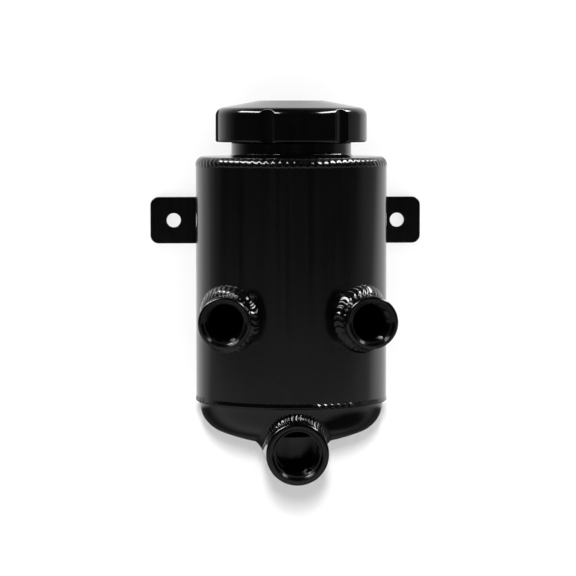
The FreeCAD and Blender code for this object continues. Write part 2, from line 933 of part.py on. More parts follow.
def main():
    nodes = make_all()
    doc.recompute()
    check(nodes)
    os.makedirs("parts", exist_ok=True)
    for node in nodes:
        node.Shape.exportStep(os.path.join("parts", f"{node.Label}.step"))
        box = node.Shape.BoundBox
        print(f"{node.Label:18s} {len(node.Shape.Solids)} solid(s) {node.Shape.Volume:10.1f} mm3  "
              f"x {box.XMin:.1f}..{box.XMax:.1f}  y {box.YMin:.1f}..{box.YMax:.1f}  "
              f"z {box.ZMin:.1f}..{box.ZMax:.1f}")


main()
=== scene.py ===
import math
import random
from collections import namedtuple

import bmesh
import bpy
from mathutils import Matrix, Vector
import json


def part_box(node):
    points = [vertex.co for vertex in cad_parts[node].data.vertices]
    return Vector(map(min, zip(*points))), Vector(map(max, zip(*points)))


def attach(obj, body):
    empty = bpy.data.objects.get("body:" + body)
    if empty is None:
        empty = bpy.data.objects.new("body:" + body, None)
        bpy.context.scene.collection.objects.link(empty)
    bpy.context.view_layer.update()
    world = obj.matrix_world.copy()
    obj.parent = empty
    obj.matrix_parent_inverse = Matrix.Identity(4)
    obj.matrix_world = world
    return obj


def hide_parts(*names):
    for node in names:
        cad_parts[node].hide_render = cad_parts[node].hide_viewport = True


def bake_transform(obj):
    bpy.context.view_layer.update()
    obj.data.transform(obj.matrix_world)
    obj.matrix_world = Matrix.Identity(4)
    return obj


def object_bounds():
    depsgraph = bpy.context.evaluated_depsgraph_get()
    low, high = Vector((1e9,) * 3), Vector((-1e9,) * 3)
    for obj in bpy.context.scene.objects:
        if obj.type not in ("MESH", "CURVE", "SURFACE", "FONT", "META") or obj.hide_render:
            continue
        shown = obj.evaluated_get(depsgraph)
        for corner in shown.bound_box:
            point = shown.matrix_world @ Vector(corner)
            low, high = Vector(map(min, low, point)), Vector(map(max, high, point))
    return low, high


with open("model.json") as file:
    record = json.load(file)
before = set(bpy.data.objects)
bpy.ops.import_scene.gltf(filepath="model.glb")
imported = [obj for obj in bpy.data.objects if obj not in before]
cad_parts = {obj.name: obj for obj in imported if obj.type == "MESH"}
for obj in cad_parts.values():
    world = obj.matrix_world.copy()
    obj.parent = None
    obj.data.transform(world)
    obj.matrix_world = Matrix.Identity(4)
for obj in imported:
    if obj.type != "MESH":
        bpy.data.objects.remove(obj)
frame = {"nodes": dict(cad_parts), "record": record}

# The welded aluminium hydraulic reservoir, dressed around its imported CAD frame.
# Lengths are in metres. The tank's axis is vertical, and the ports face -Y.

CAD_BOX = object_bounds()
MM = 0.001
TAU = 2 * math.pi
QUARTER_TURN = math.pi / 2

# -------- sizes, read from the frame where it has them


def box_middle(node):
    low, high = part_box(node)
    return (Vector(low) + Vector(high)) / 2


def box_size(node):
    low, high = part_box(node)
    return Vector(high) - Vector(low)


def heights(node):
    """A node's lowest and highest Z."""
    low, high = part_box(node)
    return low[2], high[2]


MOUNTS = {mount["name"]: mount for mount in frame["record"]["mounts"]}
AXIS = box_middle("filler_neck").to_2d()
TANK_RADIUS = box_size("tank_tube").x / 2
SEAM_HEIGHT, TUBE_TOP = heights("tank_tube")
PLATE_TOP = heights("top_plate")[1]
PLATE_RADIUS = box_size("top_plate").x / 2
FOOT_RADIUS = box_size("filler_neck").x / 2
NECK_BOTTOM, NECK_TOP = heights("filler_neck")
CAP_BOTTOM, CAP_TOP = heights("cap_shell")

# The dish has a short skirt under the seam, a tight knuckle and a shallow crown.
WALL = 3.2 * MM
DISH_RADIUS = 43.0 * MM
DISH_KNUCKLE = 15.0 * MM
DISH_CROWN = 90.0 * MM
DISH_SKIRT = 0.2 * MM
SEAM_HALF_WIDTH = 1.35 * MM
KNUCKLE_HEIGHT = SEAM_HEIGHT - SEAM_HALF_WIDTH - DISH_SKIRT
KNUCKLE_CENTRE = DISH_RADIUS - DISH_KNUCKLE
CROWN_REACH = DISH_CROWN - DISH_KNUCKLE
CROWN_CENTRE = KNUCKLE_HEIGHT + math.sqrt(CROWN_REACH ** 2 - KNUCKLE_CENTRE ** 2)
CROWN_EDGE = KNUCKLE_CENTRE * DISH_CROWN / CROWN_REACH


# -------- mesh helpers

MERGE_DISTANCE = 0.001 * MM


def on_axis(radius, angle, height):
    """A point around the tank's axis. Angle 0 faces -Y, and it grows towards +X."""
    return Vector((AXIS.x + radius * math.sin(angle), AXIS.y - radius * math.cos(angle), height))


def even_angles(count):
    return [TAU * number / count for number in range(count)]


def turned(rings, angles):
    """Place rings of (radius, height) pairs around the tank's axis, one pair to each angle."""
    return [[on_axis(radius, angle, height) for angle, (radius, height) in zip(angles, ring)]
            for ring in rings]


def shade_smooth(mesh, sharp_degrees):
    mesh.polygons.foreach_set("use_smooth", [True] * len(mesh.polygons))
    if sharp_degrees:
        mesh.set_sharp_from_angle(angle=math.radians(sharp_degrees))


def add_mesh(name, points, faces, sharp_degrees=None):
    mesh = bpy.data.meshes.new(name)
    mesh.from_pydata(points, [], faces)
    mesh.validate()
    solid = bmesh.new()
    solid.from_mesh(mesh)
    bmesh.ops.remove_doubles(solid, verts=solid.verts, dist=MERGE_DISTANCE)
    bmesh.ops.recalc_face_normals(solid, faces=solid.faces)
    solid.to_mesh(mesh)
    solid.free()
    shade_smooth(mesh, sharp_degrees)
    piece = bpy.data.objects.new(name, mesh)
    bpy.context.scene.collection.objects.link(piece)
    return piece


def evaluated_mesh(item):
    """A new mesh of an object's final shape, with its modifiers or its bevel."""
    bpy.context.view_layer.update()
    graph = bpy.context.evaluated_depsgraph_get()
    return bpy.data.meshes.new_from_object(item.evaluated_get(graph))


def ring_faces(rings, joined=False):
    """Quads between neighbouring closed rings, and from the last ring to the first if joined."""
    count = len(rings[0])
    faces = []
    for row in range(len(rings) if joined else len(rings) - 1):
        following = (row + 1) % len(rings)
        for column in range(count):
            beside = (column + 1) % count
            faces.append((row * count + column, row * count + beside,
                          following * count + beside, following * count + column))
    return faces


def loft(name, rings, sharp_degrees=None, capped=False):
    """Skin a loop of rings of equal length, or a row of them with a face over each end."""
    count = len(rings[0])
    points = [point for ring in rings for point in ring]
    faces = ring_faces(rings, joined=not capped)
    if capped:
        faces += [tuple(range(count)), tuple(range(len(points) - count, len(points)))]
    return add_mesh(name, points, faces, sharp_degrees)


def even_shading(piece):
    """Keep large flat faces flat beside small rounded edges."""
    weighted = piece.modifiers.new("even_shading", "WEIGHTED_NORMAL")
    weighted.keep_sharp = True


def dress(piece, body, material, node):
    """Ride on a body, take a material, and stand for a CAD node."""
    piece.data.materials.clear()
    piece.data.materials.append(material)
    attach(piece, body)
    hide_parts(node)


def smoothstep(low, high, value):
    share = min(1.0, max(0.0, (value - low) / (high - low)))
    return share * share * (3 - 2 * share)


def smooth_least(first, second, blend):
    """The lesser of two numbers, rounded where they cross."""
    share = min(1.0, max(0.0, 0.5 + 0.5 * (second - first) / blend))
    return second + (first - second) * share - blend * share * (1 - share)


def fillet_path(corners, steps):
    """An outline of (across, up, radius) corners, with each corner rounded by its radius."""
    outline = []
    count = len(corners)
    for number, (across, up, radius) in enumerate(corners):
        here = Vector((across, up))
        if radius <= 0 or number in (0, count - 1):
            outline.append(here)
            continue
        before = Vector(corners[number - 1][:2])
        after = Vector(corners[number + 1][:2])
        start = (before - here).normalized()
        end = (after - here).normalized()
        half = start.angle(end) / 2
        reach = radius / math.tan(half)
        centre = here + (start + end).normalized() * (radius / math.sin(half))
        first = here + start * reach - centre
        turn = first.angle_signed(here + end * reach - centre)
        for step in range(steps + 1):
            angle = -turn * step / steps
            outline.append(centre + Vector((
                first.x * math.cos(angle) - first.y * math.sin(angle),
                first.x * math.sin(angle) + first.y * math.cos(angle))))
    return outline


def refine(outline, longest):
    """Split the long runs of an outline, so that no step is longer than asked."""
    fine = [outline[0]]
    for start, end in zip(outline, outline[1:]):
        steps = max(1, math.ceil((end - start).length / longest))
        for step in range(1, steps + 1):
            fine.append(start.lerp(end, step / steps))
    return fine


# -------- node helpers

def object_noise(tree, scale, detail, stretch=(1, 1, 1)):
    place = tree.nodes.new("ShaderNodeTexCoord")
    mapping = tree.nodes.new("ShaderNodeMapping")
    mapping.inputs["Scale"].default_value = stretch
    noise = tree.nodes.new("ShaderNodeTexNoise")
    noise.inputs["Scale"].default_value = scale
    noise.inputs["Detail"].default_value = detail
    tree.links.new(place.outputs["Object"], mapping.inputs["Vector"])
    tree.links.new(mapping.outputs["Vector"], noise.inputs["Vector"])
    return noise.outputs["Fac"]


def map_range(tree, source, low, high, to_low=0, to_high=1):
    """Map the range from low to high onto another range."""
    mapped = tree.nodes.new("ShaderNodeMapRange")
    mapped.inputs["From Min"].default_value = low
    mapped.inputs["From Max"].default_value = high
    mapped.inputs["To Min"].default_value = to_low
    mapped.inputs["To Max"].default_value = to_high
    tree.links.new(source, mapped.inputs["Value"])
    return mapped.outputs["Result"]


def arithmetic(tree, operation, first, second):
    result = tree.nodes.new("ShaderNodeMath")
    result.operation = operation
    tree.links.new(first, result.inputs[0])
    tree.links.new(second, result.inputs[1])
    return result.outputs["Value"]


def mix_shaders(tree, factor, first, second):
    mixed = tree.nodes.new("ShaderNodeMixShader")
    tree.links.new(factor, mixed.inputs["Fac"])
    tree.links.new(first, mixed.inputs[1])
    tree.links.new(second, mixed.inputs[2])
    return mixed.outputs["Shader"]


def grey_ramp(tree, source, stops):
    """Grey by a direction's part: stops are (part from -1 to 1, brightness)."""
    ramp = tree.nodes.new("ShaderNodeValToRGB")
    ramp.color_ramp.interpolation = "EASE"
    elements = ramp.color_ramp.elements
    while len(elements) < len(stops):
        elements.new(0.5)
    for element, (part, brightness) in zip(elements, stops):
        element.position = (part + 1) / 2
        element.color = (brightness, brightness, brightness, 1)
    tree.links.new(map_range(tree, source, -1, 1), ramp.inputs["Fac"])
    return ramp.outputs["Color"]


# The Mix node has sockets of the same name for each data type. These are the colour ones.
MIX_FIRST = 6
MIX_SECOND = 7
MIX_COLOUR = 2


def mix_greys(tree, blend, first, second, factor=None):
    mix = tree.nodes.new("ShaderNodeMix")
    mix.data_type = "RGBA"
    mix.blend_type = blend
    mix.inputs["Factor"].default_value = 1
    if factor:
        tree.links.new(factor, mix.inputs["Factor"])
    tree.links.new(first, mix.inputs[MIX_FIRST])
    tree.links.new(second, mix.inputs[MIX_SECOND])
    return mix.outputs[MIX_COLOUR]


# -------- materials

# The middle of a noise's range, where most of it lies.
NOISE_MIDDLE = (0.3, 0.7)
TINT_MIDDLE = (0.35, 0.65)


def new_material(name):
    material = bpy.data.materials.new(name)
    material.use_nodes = True
    return material, material.node_tree, material.node_tree.nodes["Principled BSDF"]


def spread(tree, source, low, high):
    """Map a noise's middle range onto low to high."""
    return map_range(tree, source, *NOISE_MIDDLE, low, high)


def tint(tree, source, dark, light):
    """Colour by a noise, from dark to light."""
    ramp = tree.nodes.new("ShaderNodeValToRGB")
    for element, position, colour in zip(ramp.color_ramp.elements, TINT_MIDDLE, (dark, light)):
        element.position = position
        element.color = (*colour, 1)
    tree.links.new(source, ramp.inputs["Fac"])
    return ramp.outputs["Color"]


def bump(tree, source, strength, distance, below=None):
    bumped = tree.nodes.new("ShaderNodeBump")
    bumped.inputs["Strength"].default_value = strength
    bumped.inputs["Distance"].default_value = distance
    tree.links.new(source, bumped.inputs["Height"])
    if below:
        tree.links.new(below, bumped.inputs["Normal"])
    return bumped.outputs["Normal"]


def link_surface(tree, shader, colour, roughness, normal):
    tree.links.new(colour, shader.inputs["Base Color"])
    tree.links.new(roughness, shader.inputs["Roughness"])
    tree.links.new(normal, shader.inputs["Normal"])


def make_coat(name, roughness, peel):
    """Black powder coat: fine orange peel, faint upright streaks and slight haze."""
    material, tree, shader = new_material(name)
    cloud = object_noise(tree, scale=38, detail=3)
    streak = object_noise(tree, scale=260, detail=2, stretch=(1, 1, 0.02))
    fine = object_noise(tree, scale=1900, detail=2)
    waves = object_noise(tree, scale=420, detail=2)
    waved = bump(tree, waves, strength=0.03 * peel, distance=0.3 * MM)
    link_surface(tree, shader,
                 colour=tint(tree, cloud, (0.0006, 0.0006, 0.0007), (0.0014, 0.0014, 0.0015)),
                 roughness=spread(tree, streak, *roughness),
                 normal=bump(tree, fine, strength=0.03 * peel, distance=0.1 * MM, below=waved))
    shader.inputs["IOR"].default_value = 1.5
    return material


def make_metal(name, dark, light, roughness, stretch):
    """Bare metal with a brushed or turned grain along one axis."""
    material, tree, shader = new_material(name)
    grain = object_noise(tree, scale=900, detail=4, stretch=stretch)
    cloud = object_noise(tree, scale=60, detail=3)
    link_surface(tree, shader, colour=tint(tree, cloud, dark, light),
                 roughness=spread(tree, grain, *roughness),
                 normal=bump(tree, grain, strength=0.15, distance=0.1 * MM))
    shader.inputs["Metallic"].default_value = 1.0
    return material


def make_rubber(name):
    material, tree, shader = new_material(name)
    speckle = object_noise(tree, scale=2600, detail=3)
    cloud = object_noise(tree, scale=90, detail=2)
    link_surface(tree, shader,
                 colour=tint(tree, cloud, (0.012, 0.012, 0.012), (0.022, 0.022, 0.022)),
                 roughness=spread(tree, speckle, 0.55, 0.75),
                 normal=bump(tree, speckle, strength=0.2, distance=0.1 * MM))
    return material


COAT = make_coat("black_powder_coat", roughness=(0.13, 0.19), peel=1.0)
WELD_COAT = make_coat("coated_weld", roughness=(0.12, 0.18), peel=0.6)
CAP_COAT = make_coat("cap_coat", roughness=(0.10, 0.15), peel=0.7)
ALUMINIUM = make_metal("bare_aluminium", dark=(0.62, 0.63, 0.64), light=(0.74, 0.75, 0.76),
                       roughness=(0.28, 0.42), stretch=(1, 0.05, 1))
STAINLESS = make_metal("stainless_sheet", dark=(0.50, 0.49, 0.47), light=(0.62, 0.61, 0.59),
                       roughness=(0.22, 0.36), stretch=(1, 1, 0.04))
SPRING_STEEL = make_metal("spring_steel", dark=(0.38, 0.38, 0.37), light=(0.50, 0.50, 0.49),
                          roughness=(0.20, 0.32), stretch=(1, 1, 0.3))
NITRILE = make_rubber("nitrile")

CARRIED = {
    "tank_tube": COAT,
    "top_plate": COAT,
    "bottom_dish": COAT,
    "strap_welds": WELD_COAT,
    "baffle_plate": ALUMINIUM,
    "baffle_tacks": ALUMINIUM,
    "neck_strainer": STAINLESS,
    "strainer_ring": SPRING_STEEL,
    "cap_gasket": NITRILE,
    "vent_cage": ALUMINIUM,
    "vent_disc": NITRILE,
}


def paint_carried_nodes():
    for node, material in CARRIED.items():
        item = frame["nodes"][node]
        item.data.materials.clear()
        item.data.materials.append(material)


# -------- weld beads

# A station is one place along a bead: its two edges, the way each edge spreads over its
# surface, the way out of the joint, and a hidden root between the two pieces.
Station = namedtuple("Station", "left right left_way right_way out root")
STATION_COUNT = 360

# How fine a bead's mesh is, and the angle in degrees from which its edges stay crisp.
STATIONS_PER_RIPPLE = 15
ACROSS_STEPS = 16
BEAD_SHARP = 55

# How much a bead's ripples vary in height and width, and how much its crown varies with them.
RIPPLE_HEIGHTS = (0.82, 1.12)
RIPPLE_WIDTHS = (0.6, 1.4)
CROWN_VARIATION = 0.25

# The edge's spread between two ripples, as a share of its spread at their highest places.
VALLEY_SPREAD = 0.35

# Powers of the curves across a bead, of its crown and of its ripples' depth.
CROWN_POWER = 0.7
RIPPLE_POWER = 0.3

# How far the toes of a corner's bead sink into the two surfaces.
TOE_SINK = 0.12 * MM


def even_stations(stations, spacing):
    """Space the stations of a closed bead evenly, and give the bead's length."""
    middles = [(item.left + item.right) / 2 for item in stations]
    middles.append(middles[0])
    travelled = [0.0]
    for start, end in zip(middles, middles[1:]):
        travelled.append(travelled[-1] + (end - start).length)
    length = travelled[-1]
    count = round(length / spacing)
    even = []
    index = 0
    for number in range(count):
        target = length * number / count
        while travelled[index + 1] < target:
            index += 1
        share = (target - travelled[index]) / (travelled[index + 1] - travelled[index])
        first = stations[index]
        second = stations[(index + 1) % len(stations)]
        even.append(Station(*(a.lerp(b, share) for a, b in zip(first, second))))
    return even, length


def evenly_rippled(station):
    return 1.0


def barely_rippled(station):
    return 0.05


def rounded(crown):
    """The section of an ordinary bead: its height by the place across, from -1 to 1."""
    def height(across):
        return crown * (1 - across * across) ** CROWN_POWER
    return height


def make_bead(name, node, stations, pitch, section, ripple, seed, slant=0.55,
              spread_by=0.3 * MM, ripple_share=evenly_rippled, crest=0.4):
    """A closed bead of overlapping crescent ripples, skinned around the joint.

    It stands for a CAD node. section gives the smooth bead's height across, ripple_share how
    much of the ripple shows at a station, and crest where along each ripple its highest place
    is, from 0 to 1.
    """
    draw = random.Random(seed)
    stations, length = even_stations(stations, pitch / STATIONS_PER_RIPPLE)
    count = round(length / pitch)
    heights = [draw.uniform(*RIPPLE_HEIGHTS) for _ in range(count)]
    widths = [draw.uniform(*RIPPLE_WIDTHS) for _ in range(count)]
    rings = []
    for number, station in enumerate(stations):
        along = count * number / len(stations)
        shown = ripple_share(station)
        ring = []
        for step in range(ACROSS_STEPS + 1):
            across = 2 * step / ACROSS_STEPS - 1
            inside = 1 - across * across
            turns = along + slant * inside
            lobe = turns % 1.0
            which = int(turns) % count
            rise = min(smoothstep(0, crest, lobe), 1 - smoothstep(crest, 1, lobe))
            edge = spread_by * widths[which] * (VALLEY_SPREAD + (1 - VALLEY_SPREAD) * rise)
            edge *= shown
            share = (across + 1) / 2
            point = station.left.lerp(station.right, share)
            point += station.left_way * edge * (1 - share) ** 2
            point += station.right_way * edge * share ** 2
            level = 1 + CROWN_VARIATION * (heights[which] - 1) * shown
            height = section(across) * level
            height -= ripple * shown * heights[which] * (1 - rise) * inside ** RIPPLE_POWER
            ring.append(point + station.out * height)
        ring.append(station.root)
        rings.append(ring)
    piece = loft(name, rings, BEAD_SHARP)
    dress(piece, "root", WELD_COAT, node)


def ring_stations(left, right, left_way, right_way, out, root):
    """Stations around the tank's axis, from a section given as (radius, height) pairs."""
    def spin(pair, angle):
        return Vector((pair[0] * math.sin(angle), -pair[0] * math.cos(angle), pair[1]))

    centre = Vector((AXIS.x, AXIS.y, 0))
    stations = []
    for angle in even_angles(STATION_COUNT):
        stations.append(Station(
            centre + spin(left, angle), centre + spin(right, angle),
            spin(left_way, angle), spin(right_way, angle),
            spin(out, angle).normalized(), centre + spin(root, angle)))
    return stations


def fillet_station(point, first_normal, second_normal, leg, root_depth):
    """A station in the corner between two surfaces that meet at the point."""
    toe_first = (second_normal - first_normal * second_normal.dot(first_normal)).normalized()
    toe_second = (first_normal - second_normal * first_normal.dot(second_normal)).normalized()
    out = (first_normal + second_normal).normalized()
    return Station(point + toe_first * leg - first_normal * TOE_SINK,
                   point + toe_second * leg - second_normal * TOE_SINK,
                   toe_first, toe_second, out, point - out * root_depth)


def make_top_seam():
    stations = ring_stations(
        left=(TANK_RADIUS, TUBE_TOP - 0.2 * MM), right=(PLATE_RADIUS, PLATE_TOP),
        left_way=(0, -1), right_way=(-1, 0), out=(0.80, 0.60),
        root=(PLATE_RADIUS - 0.4 * MM, TUBE_TOP - 0.6 * MM))
    make_bead("top_seam_bead", "top_seam_weld", stations, pitch=3.2 * MM,
              section=rounded(1.15 * MM), ripple=0.26 * MM, seed=11, crest=0.3)


# Stretches of the bottom seam that stayed rippled: from and to in degrees, and how much.
SEAM_RIPPLES = [(7, 40, 1.0), (-95, -62, 0.6), (110, 170, 0.6)]
RIPPLE_FADE = 6
LEAST_RIPPLE = 0.08
# The bottom seam widens downwards to a lip, then turns in to the dish. Places across it run
# from -1 at the dish to 1 at the tube.
LIP_AT = -0.5
LIP_RISE = 0.3 * MM
SEAM_DEPTH = 2.3 * MM


def bottom_seam_ripple(station):
    """The bottom seam lies almost flat, apart from its rippled stretches."""
    angle = math.degrees(math.atan2(station.root.x - AXIS.x, AXIS.y - station.root.y))
    shares = [LEAST_RIPPLE]
    for low, high, share in SEAM_RIPPLES:
        fade = smoothstep(low, low + RIPPLE_FADE, angle)
        fade *= 1 - smoothstep(high - RIPPLE_FADE, high, angle)
        shares.append(share * fade)
    return max(shares)


def seam_section(across):
    """Height of the bottom seam over the straight line between its two edges."""
    line = DISH_RADIUS + (TANK_RADIUS - DISH_RADIUS) * (across + 1) / 2
    if across > LIP_AT:
        return TANK_RADIUS + LIP_RISE * (1 - smoothstep(LIP_AT, 1, across)) - line
    turn = math.sqrt(1 - ((LIP_AT - across) / (LIP_AT + 1)) ** 2)
    return DISH_RADIUS + (TANK_RADIUS + LIP_RISE - DISH_RADIUS) * turn - line


def make_bottom_seam():
    stations = ring_stations(
        left=(DISH_RADIUS, SEAM_HEIGHT - SEAM_HALF_WIDTH),
        right=(TANK_RADIUS, SEAM_HEIGHT + SEAM_HALF_WIDTH),
        left_way=(0, -1), right_way=(0, 1), out=(1, 0),
        root=(TANK_RADIUS - SEAM_DEPTH, SEAM_HEIGHT))
    make_bead("bottom_seam_bead", "bottom_seam_weld", stations, pitch=3.3 * MM,
              section=seam_section, ripple=0.45 * MM, seed=12, slant=-0.5,
              spread_by=0.2 * MM, ripple_share=bottom_seam_ripple, crest=0.25)


def make_neck_foot_bead():
    leg = 1.9 * MM
    sink = 0.05 * MM
    root_depth = 0.5 * MM
    stations = ring_stations(
        left=(FOOT_RADIUS + leg, PLATE_TOP - sink),
        right=(FOOT_RADIUS - sink, PLATE_TOP + leg),
        left_way=(1, 0), right_way=(0, 1), out=(0.7, 0.7),
        root=(FOOT_RADIUS - root_depth, PLATE_TOP - root_depth))
    make_bead("neck_bead", "neck_weld", stations, pitch=2.2 * MM, section=rounded(-0.48 * MM),
              ripple=0.03 * MM, seed=13, spread_by=0.12 * MM, ripple_share=barely_rippled)


# -------- return ports

PORT_MOUTH_DEPTH = 1.3 * MM
PORT_EDGE_ROUND = 0.9 * MM
PORT_SIDE = 6 * MM
PORT_SHARP = 40
PORT_FILLET_STEPS = 5
RETURN_SIDES = 128
THREAD_FROM = 1.4 * MM
PORT_THREAD_STEPS = 12
# How far the return ports' hidden ends reach into the tank's wall.
PORT_LET_IN = 0.4 * MM
# A mouth falls steeply behind its face, then slopes in to the thread.
MOUTH_SLOPE = 0.2 * MM
MOUTH_DROP = 0.75 * MM


class ReturnPort:
    """Where one return port is, and the frame of its axis."""

    def __init__(self, side):
        mount = MOUNTS[f"return_port_{side}"]
        self.node = f"return_port_{side}"
        self.weld = f"return_weld_{side}"
        self.axis = Vector(mount["axis"]).normalized()
        self.radius = box_size(self.node).z / 2
        self.bore = mount["dims"]["r_mm"] * MM
        self.across = Vector((-self.axis.y, self.axis.x, 0))
        self.throat = self.bore - 0.7 * MM
        self.thread_end = PORT_MOUTH_DEPTH + mount["dims"]["length_mm"] * MM
        self.face = Vector(mount["pos_m"]) + self.axis * (PORT_MOUTH_DEPTH + self.thread_end) / 2

    def normal(self, angle):
        return self.across * math.cos(angle) + Vector((0, 0, math.sin(angle)))

    def at(self, radius, angle, behind):
        return self.face + self.normal(angle) * radius - self.axis * behind

    def depth_at_wall(self, radius, angle, wall_radius):
        """How far behind the face a line along the port meets the tank's cylinder."""
        start = self.at(radius, angle, 0).to_2d() - AXIS
        way = -self.axis.to_2d()
        half = start.dot(way)
        return -half - math.sqrt(half * half - start.dot(start) + wall_radius ** 2)


def make_return_bead(port, seed):
    stations = []
    for angle in even_angles(STATION_COUNT):
        point = port.at(port.radius, angle, port.depth_at_wall(port.radius, angle, TANK_RADIUS))
        wall_normal = Vector((point.x - AXIS.x, point.y - AXIS.y, 0)).normalized()
        stations.append(fillet_station(point, wall_normal, port.normal(angle),
                                       leg=3.6 * MM, root_depth=0.8 * MM))
    make_bead(f"{port.node}_bead", port.weld, stations, pitch=3.0 * MM,
              section=rounded(0.55 * MM), ripple=0.18 * MM, seed=seed, slant=0.45)


# Where a thread's flank rises from its root to its crest, as shares of half its pitch.
THREAD_FLANK = (0.30, 0.72)


def thread_height(along, angle, pitch, starts=1):
    """A rounded helical ridge, from 0 at its root to 1 at its crest. The hand is right."""
    phase = (along / pitch - starts * angle / TAU) % 1.0
    return smoothstep(*THREAD_FLANK, abs(2 * phase - 1))


def port_rings(mouth, radius, bore, pitch, thread_to, thread_depth, angles):
    """Rings of (radius, depth behind the face), from a port's side to its thread's end."""
    outer = fillet_path([
        (radius, PORT_SIDE, 0),
        (radius, 0, PORT_EDGE_ROUND),
        (mouth + MOUTH_SLOPE, 0, 0.5 * MM),
        (mouth - MOUTH_SLOPE, MOUTH_DROP, 0.15 * MM),
        (bore + 0.55 * MM, THREAD_FROM - 0.45 * MM, 0.25 * MM),
        (bore + 0.5 * MM, THREAD_FROM, 0),
    ], PORT_FILLET_STEPS)
    rings = [[(spot.x, spot.y)] * len(angles) for spot in outer]
    run = thread_to - THREAD_FROM
    steps = math.ceil(run / (pitch / PORT_THREAD_STEPS))
    for step in range(steps + 1):
        depth = THREAD_FROM + run * step / steps
        fade = smoothstep(THREAD_FROM, THREAD_FROM + pitch, depth)
        fade *= 1 - smoothstep(thread_to - pitch, thread_to, depth)
        ridges = [thread_height(-depth, angle, pitch) for angle in angles]
        rings.append([(bore + thread_depth * (1 - ridge) * fade, depth) for ridge in ridges])
    return rings


def make_return_port(port):
    angles = even_angles(RETURN_SIDES)
    hidden = TANK_RADIUS - PORT_LET_IN
    rings = [[(port.radius, port.depth_at_wall(port.radius, angle, hidden)) for angle in angles]]
    rings += port_rings(mouth=9.9 * MM, radius=port.radius, bore=port.bore, pitch=1.59 * MM,
                        thread_to=port.thread_end, thread_depth=0.75 * MM, angles=angles)
    rings.append([(port.throat, port.thread_end)] * len(angles))
    inner = [port.depth_at_wall(port.throat, angle, hidden) for angle in angles]
    rings.append([(port.throat, max(depth, port.thread_end)) for depth in inner])
    placed = [[port.at(radius, angle, depth) for angle, (radius, depth) in zip(angles, ring)]
              for ring in rings]
    piece = loft(f"{port.node}_turned", placed, PORT_SHARP)
    dress(piece, "root", COAT, port.node)


# -------- outlet

OUTLET_MIDDLE = box_middle("outlet_port")
# A hair under the CAD's radius, to stay within the CAD's box.
OUTLET_RADIUS = box_size("outlet_port").x / 2 - 0.01 * MM
OUTLET_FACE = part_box("outlet_port")[0][1]
OUTLET_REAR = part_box("outlet_port")[1][1]
OUTLET_BORE = MOUNTS["outlet_port"]["dims"]["r_mm"] * MM
OUTLET_THROAT = OUTLET_BORE - 1.0 * MM
OUTLET_THREAD_END = PORT_MOUTH_DEPTH + MOUNTS["outlet_port"]["dims"]["length_mm"] * MM
OUTLET_LENGTH = OUTLET_REAR - OUTLET_FACE
OUTLET_END_ROUND = 4.0 * MM
OUTLET_END_STEPS = 12
OUTLET_CORNER = OUTLET_REAR - OUTLET_END_ROUND
OUTLET_BORE_END = OUTLET_LENGTH - 3.3 * MM
OUTLET_POLE = 0.05 * MM
OUTLET_SIDES = 144
CAVITY_SIDES = 96
DRILL_POINT = 0.1 * MM

# The joint's flank is searched from the top of the outlet to just past its widest place.
FLANK_STEPS = 400
FLANK_TURN = math.radians(92)
BISECTIONS = 50


def dish_height(radius):
    """Height of the dish's outer surface at a distance from the axis."""
    if radius < CROWN_EDGE:
        return CROWN_CENTRE - math.sqrt(DISH_CROWN ** 2 - radius ** 2)
    return KNUCKLE_HEIGHT - math.sqrt(max(0.0, DISH_KNUCKLE ** 2 - (radius - KNUCKLE_CENTRE) ** 2))


def dish_normal(spot):
    """The way out of the dish's outer surface at a point on it."""
    flat = spot.to_2d() - AXIS
    if flat.length < CROWN_EDGE:
        return (spot - Vector((AXIS.x, AXIS.y, CROWN_CENTRE))).normalized()
    ring = flat.normalized() * KNUCKLE_CENTRE + AXIS
    return (spot - Vector((ring.x, ring.y, KNUCKLE_HEIGHT))).normalized()


def outlet_spot(angle):
    """Where a line along the outlet meets the dish, and the outlet's normal there."""
    normal = Vector((math.sin(angle), 0, math.cos(angle)))
    side = OUTLET_RADIUS * normal.x
    height = OUTLET_MIDDLE.z + OUTLET_RADIUS * normal.z
    low = abs(side) + MERGE_DISTANCE
    high = DISH_RADIUS
    for _ in range(BISECTIONS):
        middle = (low + high) / 2
        if dish_height(middle) < height:
            low = middle
        else:
            high = middle
    front = math.sqrt(max(0.0, low * low - side * side))
    return Vector((side, AXIS.y - front, height)), normal


def outlet_rear_spots():
    """The joint around the rounded rear end, from the +X flank to the -X flank."""
    spots = []
    inset = OUTLET_RADIUS - OUTLET_END_ROUND
    for side in (1, -1):
        for step in range(OUTLET_END_STEPS + 1):
            share = step / OUTLET_END_STEPS
            turn = QUARTER_TURN * (share if side == 1 else 1 - share)
            normal = Vector((side * math.cos(turn), math.sin(turn), 0))
            spot = Vector((side * inset, OUTLET_CORNER, 0)) + normal * OUTLET_END_ROUND
            spot.z = dish_height((spot.to_2d() - AXIS).length)
            spots.append((spot, normal))
    return spots


def make_outlet_bead():
    flank = []
    for step in range(FLANK_STEPS):
        spot, normal = outlet_spot(FLANK_TURN * step / FLANK_STEPS)
        if spot.y > OUTLET_CORNER - 0.3 * MM:
            break
        flank.append((spot, normal))
    mirrored = [(Vector((-spot.x, spot.y, spot.z)), Vector((-normal.x, normal.y, normal.z)))
                for spot, normal in reversed(flank[1:])]
    stations = [fillet_station(spot, dish_normal(spot), normal, leg=3.4 * MM, root_depth=1.2 * MM)
                for spot, normal in flank + outlet_rear_spots() + mirrored]
    make_bead("outlet_bead", "outlet_weld", stations, pitch=1.9 * MM,
              section=rounded(-0.35 * MM), ripple=0.13 * MM, seed=17, slant=0.45)


